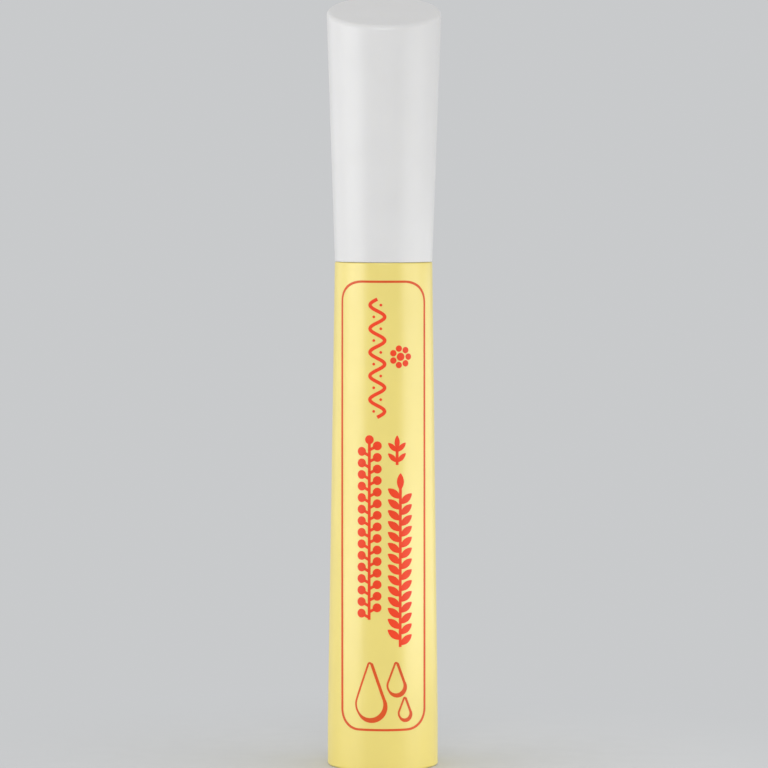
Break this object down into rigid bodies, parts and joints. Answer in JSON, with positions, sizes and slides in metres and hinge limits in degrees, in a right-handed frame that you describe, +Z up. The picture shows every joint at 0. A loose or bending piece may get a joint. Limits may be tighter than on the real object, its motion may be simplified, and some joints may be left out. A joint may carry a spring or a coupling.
{
  "type": "cuticle remover pen",
  "caption": "Tapered tube for cuticle gel with a flared, slant-topped screw cap that carries a wand with a soft slanted applicator tip.",
  "frame": {"origin": "centre of the foot, on the surface that the closed pen stands on", "axes": "+Z up along the pen towards the cap's top; -Y is the front, which the slanted top and the print face"},
  "size_m": [0.0164, 0.0164, 0.1108],
  "materials": {
    "sleeve": "satin, printed with a thin frame line",
    "base_plug": "satin",
    "vial": "translucent",
    "wiper": "natural, soft",
    "seal": "matte foam",
    "rod": "smooth",
    "tip": "soft silicone",
    "inner_cap": "natural, ribbed",
    "cap": "satin white"
  },
  "bodies": {
    "bottle": {"outer_sleeve": "sleeve", "base_plug": "base_plug", "inner_vial": "vial", "wiper": "wiper"},
    "washer": {"seal_washer": "seal"},
    "wand_rod": {"rod": "rod"},
    "cap": {"cap_shell": "cap", "inner_cap": "inner_cap", "applicator_tip": "tip"}
  },
  "joints": [
    {"name": "cap_lift", "type": "slide", "parent": "bottle", "child": "washer", "axis": [0, 0, 1], "range_m": [0, 0.075]},
    {"name": "thread_rise", "type": "slide", "parent": "washer", "child": "wand_rod", "axis": [0, 0, 1], "range_m": [0, 0.0038]},
    {"name": "cap_turn", "type": "hinge", "parent": "wand_rod", "child": "cap", "pos_m": [0, 0, 0.0725], "axis": [0, 0, 1], "range_deg": [0, 540]}
  ],
  "couplings": [
    {"joint": "thread_rise", "follows": "cap_turn", "m_per_rad": 0.00039789}
  ]
}
